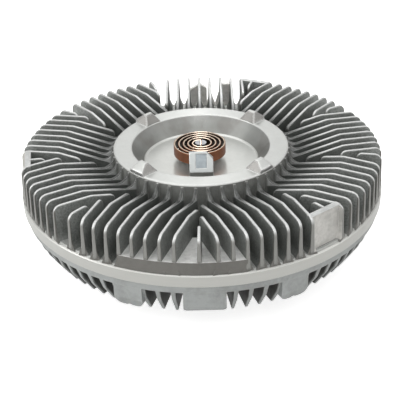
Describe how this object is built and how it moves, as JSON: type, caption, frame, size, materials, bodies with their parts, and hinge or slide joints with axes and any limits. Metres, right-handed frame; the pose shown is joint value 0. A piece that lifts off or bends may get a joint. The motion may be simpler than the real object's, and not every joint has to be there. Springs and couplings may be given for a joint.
{
  "type": "viscous fan clutch",
  "caption": "Viscous fan clutch: a finned housing on a driven rotor, with a bimetal coil in the hub bowl and a drive flange behind.",
  "frame": {"origin": "centre of the drive flange's rear face", "axes": "+Z along the turning axis from the drive flange to the finned cover, -Y from the axis towards the coil's post"},
  "size_m": [0.254, 0.254, 0.0844],
  "materials": {
    "cast_aluminium": "cast, satin",
    "turned_steel": "turned",
    "bearing_steel": "polished",
    "dark_steel": "phosphated",
    "brass": "machined",
    "bimetal": "heat-browned strip",
    "seal_rubber": "smooth"
  },
  "bodies": {
    "drive": {"input_shaft": "turned_steel", "bearing_inner": "bearing_steel", "rotor": "cast_aluminium", "rotor_washer": "dark_steel", "rotor_nut": "turned_steel"},
    "housing": {"finned_cover": "cast_aluminium", "finned_body": "cast_aluminium", "body_seal": "seal_rubber", "cover_screws": "dark_steel", "bearing_outer": "bearing_steel", "bearing_shields": "dark_steel", "bearing_circlip": "dark_steel", "separator_plate": "turned_steel", "plate_screws": "dark_steel", "pump_wiper": "brass", "valve_bush": "brass", "bimetal_coil": "bimetal", "coil_keeper": "turned_steel"},
    "bearing_set": {"bearing_balls": "bearing_steel", "bearing_cage": "brass"},
    "valve": {"valve_shaft": "turned_steel", "valve_seal": "seal_rubber", "valve_clip": "dark_steel", "valve_arm": "turned_steel"}
  },
  "joints": [
    {"name": "housing_spin", "type": "hinge", "parent": "drive", "child": "housing", "pos_m": [0, 0, 0.044], "axis": [0, 0, 1], "continuous": true},
    {"name": "ball_roll", "type": "hinge", "parent": "drive", "child": "bearing_set", "pos_m": [0, 0, 0.0245], "axis": [0, 0, 1], "continuous": true},
    {"name": "valve_turn", "type": "hinge", "parent": "housing", "child": "valve", "pos_m": [0, 0, 0.062], "axis": [0, 0, 1], "range_deg": [0, 40], "stiffness_Nm_per_rad": 0.05, "deforming": ["bimetal_coil"]}
  ],
  "couplings": [
    {"joint": "ball_roll", "follows": "housing_spin", "ratio": 0.613}
  ]
}
